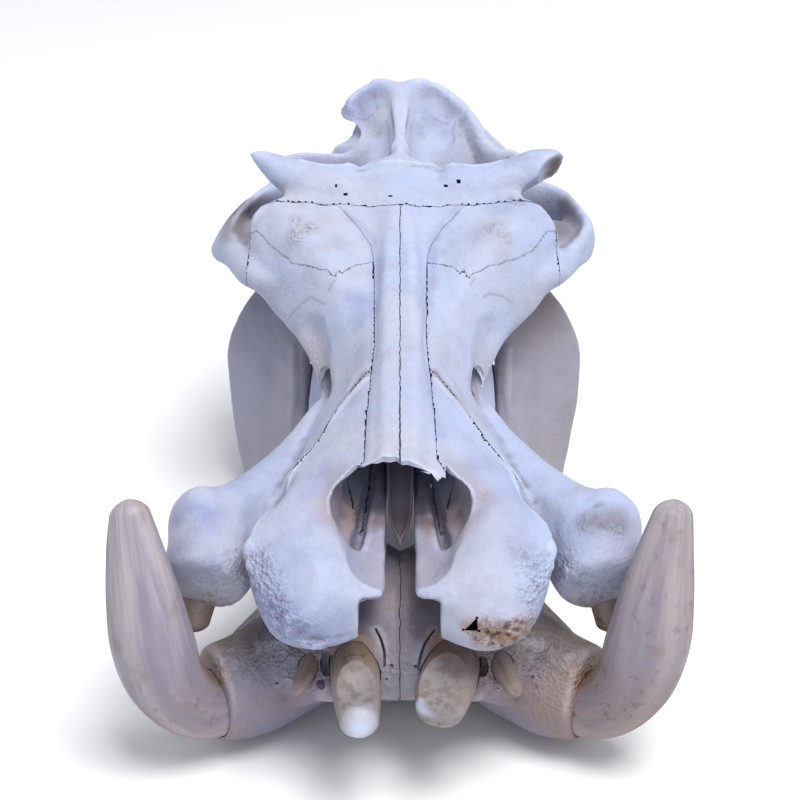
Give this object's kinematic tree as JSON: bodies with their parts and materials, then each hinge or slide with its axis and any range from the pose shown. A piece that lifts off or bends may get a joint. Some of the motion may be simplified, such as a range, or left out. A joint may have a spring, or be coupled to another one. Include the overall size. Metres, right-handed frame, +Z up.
{
  "type": "hippopotamus skull",
  "caption": "Bleached hippopotamus skull resting on its own closed lower jaw, with long curved lower tusks and short forward pointing incisors.",
  "frame": {"origin": "centre of the bounding box in plan, on the floor under the lower jaw", "axes": "+Z up, the skull looks towards -Y and its length runs along Y, +X to the right of a picture taken from the front"},
  "size_m": [0.4794, 0.712, 0.3989],
  "materials": {
    "skull_bone": "dry bleached bone, matt, cool white with grey-brown in the hollows",
    "jaw_bone": "dry weathered bone, matt, greyer and browner than the skull",
    "tusk": "weathered ivory, finely ribbed along its length, with pinkish brown stains",
    "tooth": "worn dentine, brown at the root and pale at the tip"
  },
  "bodies": {
    "root": {"braincase": "skull_bone", "vomer": "skull_bone", "nasal_left": "skull_bone", "nasal_right": "skull_bone", "premaxilla_left": "skull_bone", "premaxilla_right": "skull_bone", "maxilla_left": "skull_bone", "maxilla_right": "skull_bone", "frontal_left": "skull_bone", "frontal_right": "skull_bone", "cheekbone_left": "skull_bone", "cheekbone_right": "skull_bone", "mandible_left": "jaw_bone", "mandible_right": "jaw_bone", "lower_tusk_left": "tusk", "lower_tusk_right": "tusk", "lower_incisor_1_left": "tooth", "lower_incisor_1_right": "tooth", "lower_incisor_2_left": "tooth", "lower_incisor_2_right": "tooth", "upper_canine_left": "tooth", "upper_canine_right": "tooth"}
  },
  "joints": []
}
